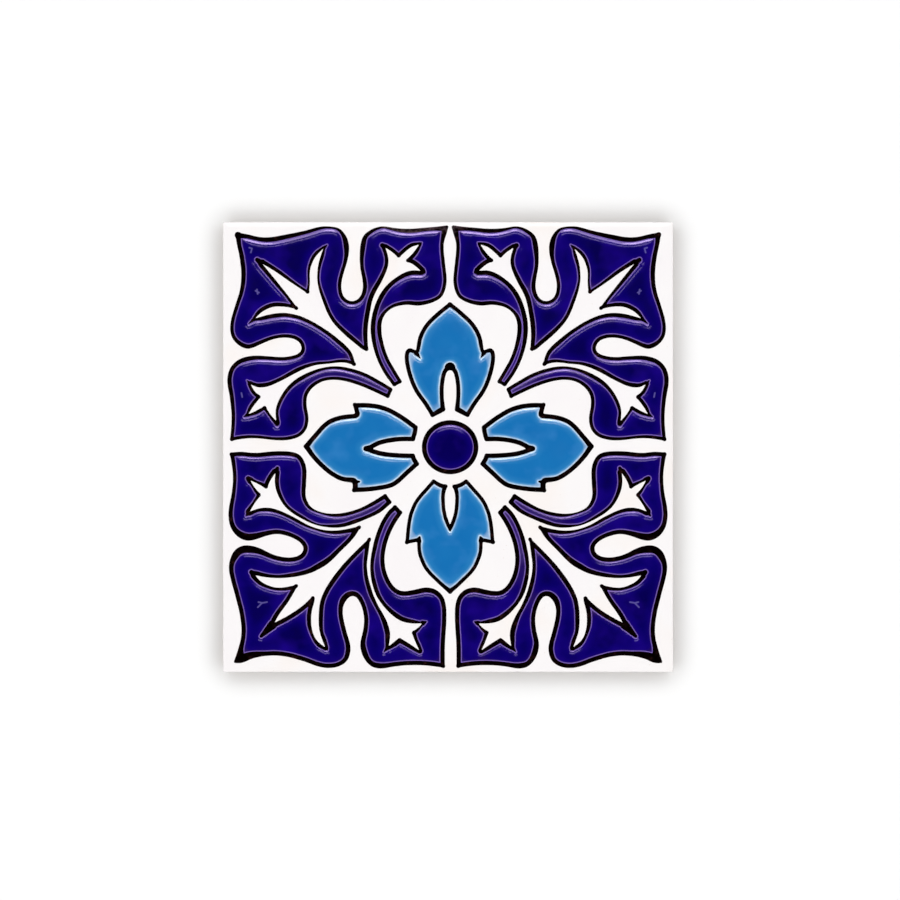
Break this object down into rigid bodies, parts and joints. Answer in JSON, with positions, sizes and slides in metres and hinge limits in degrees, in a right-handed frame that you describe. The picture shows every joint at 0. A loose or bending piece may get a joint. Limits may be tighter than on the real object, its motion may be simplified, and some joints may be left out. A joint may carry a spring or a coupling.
{
  "type": "haft rang tile",
  "caption": "Square glazed wall tile with a raised four-petal flower and leaf scrolls in coloured glaze.",
  "frame": {"origin": "centre of the flat back, on the plane that the tile lies on", "axes": "+Z out of the glazed face, +Y towards the head of the pattern, +X to its right"},
  "size_m": [0.2, 0.2, 0.01],
  "materials": {
    "white_glaze": "glossy white glaze",
    "cobalt_glaze": "glossy cobalt blue glaze, pooled thick",
    "light_blue_glaze": "glossy light blue glaze, pooled thick",
    "black_line": "dry black manganese line",
    "fired_clay": "unglazed buff fired clay"
  },
  "bodies": {
    "root": {"tile": "white_glaze"}
  },
  "joints": []
}
